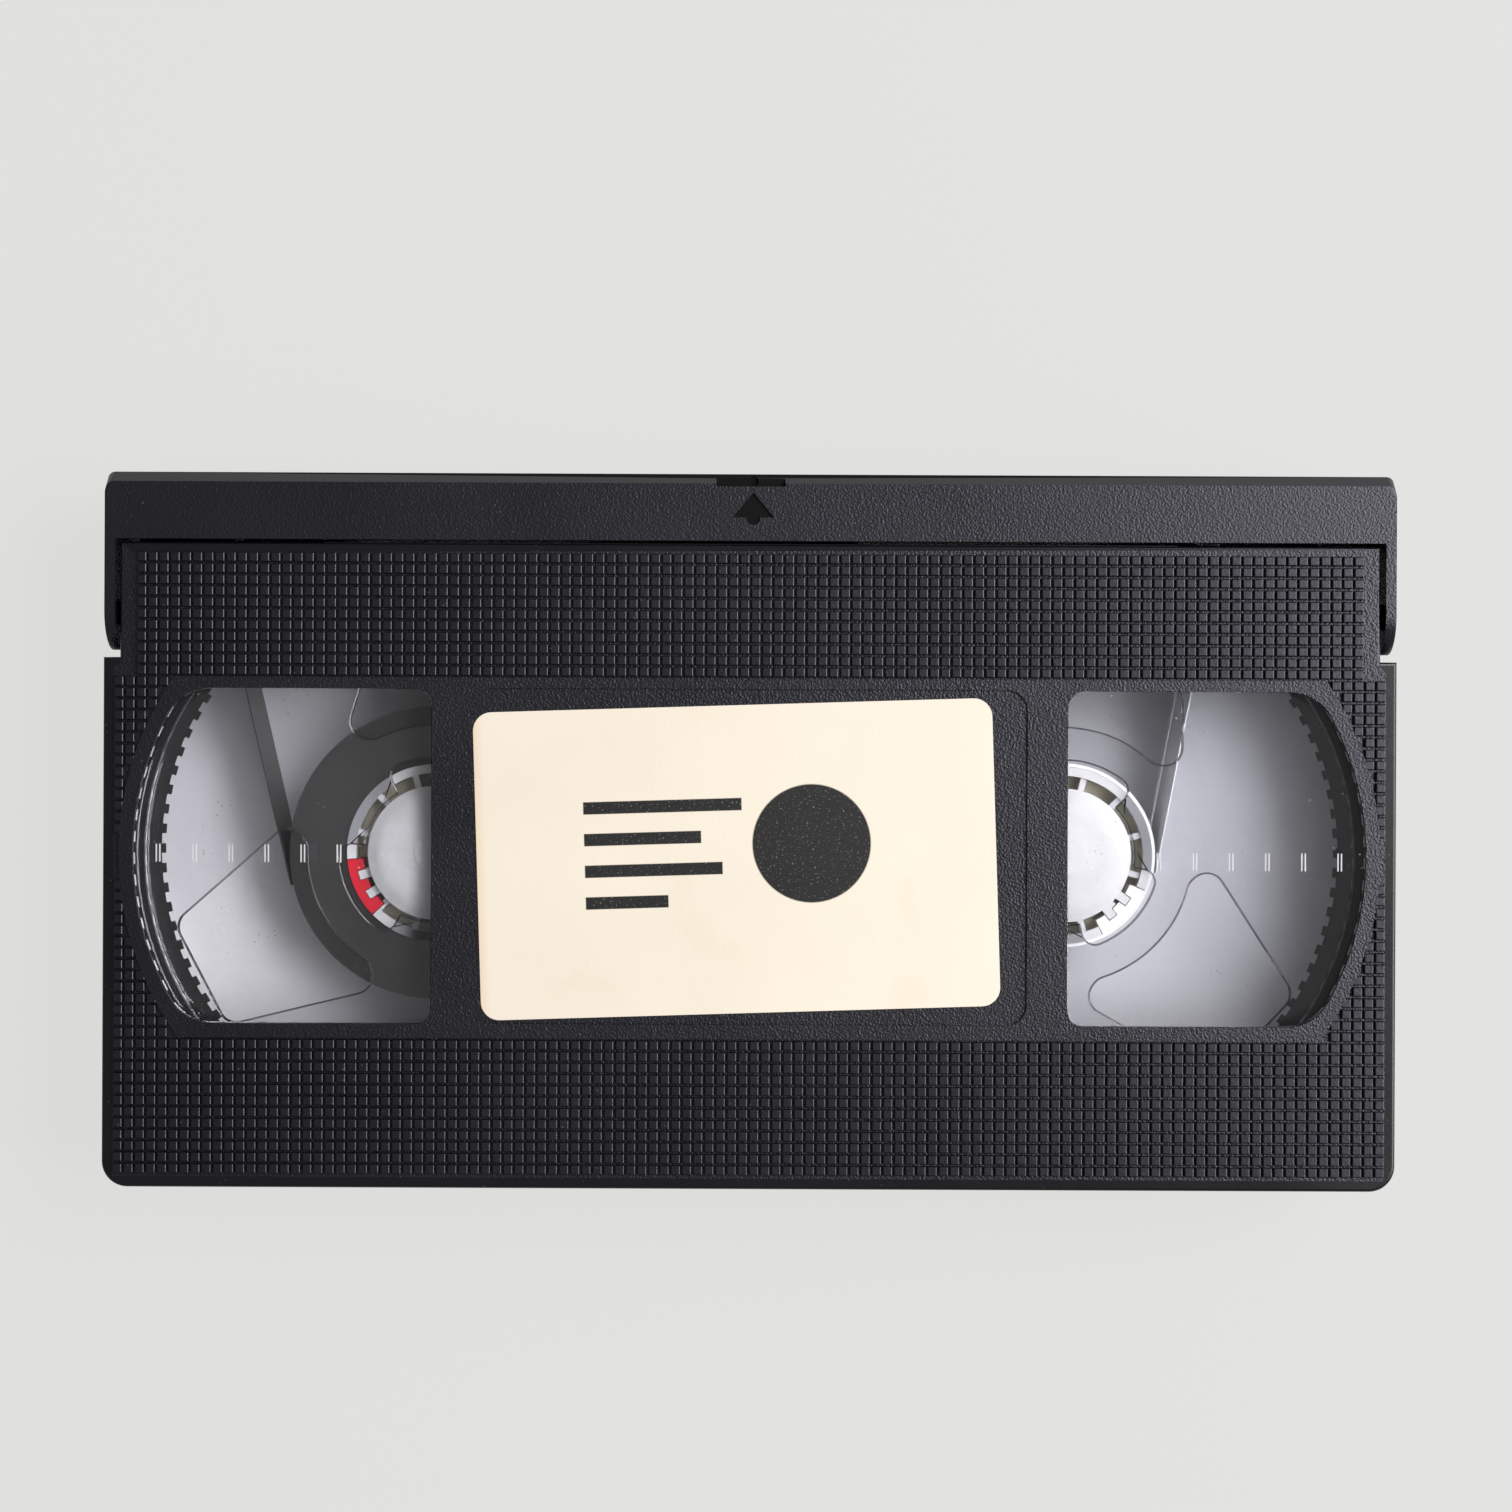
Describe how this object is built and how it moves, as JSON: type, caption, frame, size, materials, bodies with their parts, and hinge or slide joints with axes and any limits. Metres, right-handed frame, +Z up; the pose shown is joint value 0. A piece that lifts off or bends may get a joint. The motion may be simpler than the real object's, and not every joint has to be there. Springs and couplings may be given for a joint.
{
  "type": "video cassette",
  "caption": "Black video cassette with two reels behind clear windows, a cream face label, a hinged front lid and a grid-textured shell.",
  "frame": {"origin": "middle of the footprint, on the underside", "axes": "+X along the long side, to the right with the label up and the lid away from the viewer; +Y towards the hinged lid; +Z up, out of the label side"},
  "size_m": [0.188, 0.104, 0.025],
  "materials": {
    "shell_black": "fine grained black moulding",
    "lid_black": "fine grained black moulding",
    "window_clear": "clear moulded plastic",
    "label_paper": "satin cream sticker",
    "reel_white": "satin white moulding",
    "clamp_red": "glossy red moulding",
    "clamp_white": "satin white moulding",
    "flange_clear": "clear moulded plastic",
    "tape_dark": "polished dark tape edges",
    "leader_clear": "translucent leader film",
    "roller_grey": "grey low-friction moulding",
    "pin_steel": "polished steel",
    "spring_steel": "spring steel",
    "screw_steel": "zinc plated",
    "lever_grey": "low-friction moulding"
  },
  "bodies": {
    "case": {"lower_shell": "shell_black", "upper_shell": "shell_black", "window_left": "window_clear", "window_right": "window_clear", "face_label": "label_paper", "tape_run": "tape_dark", "leader_run": "leader_clear", "supply_roller_pin": "pin_steel", "supply_tape_post": "pin_steel", "takeup_tape_post": "pin_steel", "reel_leaf_spring": "spring_steel", "case_screws": "screw_steel", "lid_spring": "spring_steel"},
    "lid": {"front_lid": "lid_black"},
    "supply_reel": {"supply_hub": "reel_white", "supply_clamp": "clamp_red", "supply_top_flange": "flange_clear", "supply_tape_pack": "tape_dark"},
    "takeup_reel": {"takeup_hub": "reel_white", "takeup_clamp": "clamp_white", "takeup_top_flange": "flange_clear", "takeup_leader_wrap": "leader_clear"},
    "roller": {"supply_roller": "roller_grey"},
    "lock": {"lid_lock": "lever_grey"},
    "left_brake": {"brake_left": "lever_grey"},
    "right_brake": {"brake_right": "lever_grey"},
    "release": {"brake_release": "lever_grey"}
  },
  "joints": [
    {"name": "lid_hinge", "type": "hinge", "parent": "case", "child": "lid", "pos_m": [0, 0.0317, 0.0195], "axis": [1, 0, 0], "range_deg": [0, 90]},
    {"name": "supply_spin", "type": "hinge", "parent": "case", "child": "supply_reel", "pos_m": [-0.0462, -0.0034, 0], "axis": [0, 0, 1], "continuous": true},
    {"name": "takeup_spin", "type": "hinge", "parent": "case", "child": "takeup_reel", "pos_m": [0.0462, -0.0034, 0], "axis": [0, 0, 1], "continuous": true},
    {"name": "roller_spin", "type": "hinge", "parent": "case", "child": "roller", "pos_m": [-0.0747, 0.03749, 0], "axis": [0, 0, 1], "continuous": true},
    {"name": "lock_swing", "type": "hinge", "parent": "case", "child": "lock", "pos_m": [0.087, 0.0341, 0], "axis": [0, 0, 1], "range_deg": [0, 8]},
    {"name": "release_slide", "type": "slide", "parent": "case", "child": "release", "axis": [0, -1, 0], "range_m": [0, 0.0012]},
    {"name": "left_brake_swing", "type": "hinge", "parent": "case", "child": "left_brake", "pos_m": [-0.0185, -0.046, 0], "axis": [0, 0, 1], "range_deg": [-5.2, 0]},
    {"name": "right_brake_swing", "type": "hinge", "parent": "case", "child": "right_brake", "pos_m": [0.0185, -0.046, 0], "axis": [0, 0, 1], "range_deg": [0, 5.2]}
  ],
  "couplings": [
    {"joint": "takeup_spin", "follows": "supply_spin", "ratio": 1.5926},
    {"joint": "roller_spin", "follows": "supply_spin", "ratio": 7.1667},
    {"joint": "right_brake_swing", "follows": "release_slide", "rad_per_m": 75.188},
    {"joint": "left_brake_swing", "follows": "release_slide", "rad_per_m": -75.188}
  ]
}
